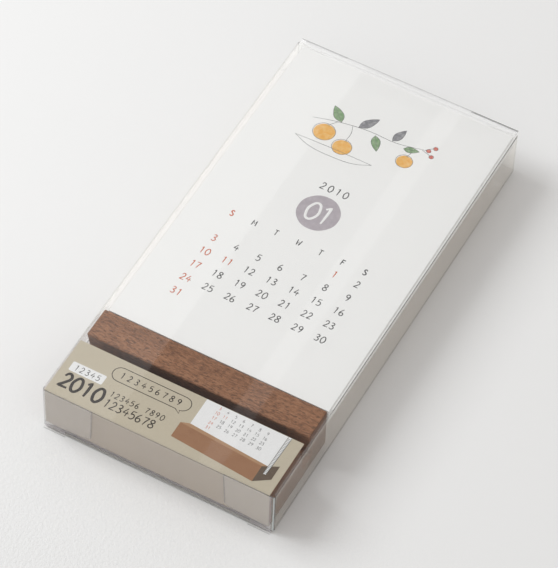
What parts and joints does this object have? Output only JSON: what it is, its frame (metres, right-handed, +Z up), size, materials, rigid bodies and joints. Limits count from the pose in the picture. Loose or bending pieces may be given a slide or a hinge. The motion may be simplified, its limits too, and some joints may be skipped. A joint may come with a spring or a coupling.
{
  "type": "desk calendar in clear case",
  "caption": "Flat clear case holding a slotted wooden stand, a stack of month cards, a paper wrap and a board riser, with a tuck-in closure at each end.",
  "frame": {"origin": "on the floor under the middle of the case", "axes": "+Z up, +Y along the case from the stand's end to the cards' end, +X across it"},
  "size_m": [0.092, 0.1882, 0.0215],
  "materials": {
    "clear_sheet": "clear glossy sheet",
    "walnut": "oiled, fine pores",
    "printed_wrap": "matt printed",
    "month_card": "matt printed card",
    "riser_board": "matt white"
  },
  "bodies": {
    "case": {"case_sleeve": "clear_sheet", "glue_lap": "clear_sheet", "front_left_dust_flap": "clear_sheet", "front_right_dust_flap": "clear_sheet", "back_left_dust_flap": "clear_sheet", "back_right_dust_flap": "clear_sheet", "paper_wrap": "printed_wrap", "stand_block": "walnut", "card_riser": "riser_board", "month_card_01": "month_card", "month_card_02": "month_card", "month_card_03": "month_card", "month_card_04": "month_card", "month_card_05": "month_card", "month_card_06": "month_card", "month_card_07": "month_card", "month_card_08": "month_card", "month_card_09": "month_card", "month_card_10": "month_card", "month_card_11": "month_card", "month_card_12": "month_card"},
    "front_closure": {"front_closure": "clear_sheet"},
    "front_tuck_flap": {"front_tuck_flap": "clear_sheet"},
    "back_closure": {"back_closure": "clear_sheet"},
    "back_tuck_flap": {"back_tuck_flap": "clear_sheet"}
  },
  "joints": [
    {"name": "front_closure_hinge", "type": "hinge", "parent": "case", "child": "front_closure", "pos_m": [0, -0.09335, 0.02135], "axis": [-1, 0, 0], "range_deg": [0, 110]},
    {"name": "front_tuck_crease", "type": "hinge", "parent": "front_closure", "child": "front_tuck_flap", "pos_m": [0, -0.09335, 0.0023], "axis": [-1, 0, 0], "range_deg": [-49.5, 0]},
    {"name": "back_closure_hinge", "type": "hinge", "parent": "case", "child": "back_closure", "pos_m": [0, 0.09335, 0.00015], "axis": [-1, 0, 0], "range_deg": [0, 90]},
    {"name": "back_tuck_crease", "type": "hinge", "parent": "back_closure", "child": "back_tuck_flap", "pos_m": [0, 0.09335, 0.0192], "axis": [-1, 0, 0], "range_deg": [-40.5, 0]}
  ],
  "couplings": [
    {"joint": "front_tuck_crease", "follows": "front_closure_hinge", "ratio": -0.45},
    {"joint": "back_tuck_crease", "follows": "back_closure_hinge", "ratio": -0.45}
  ]
}
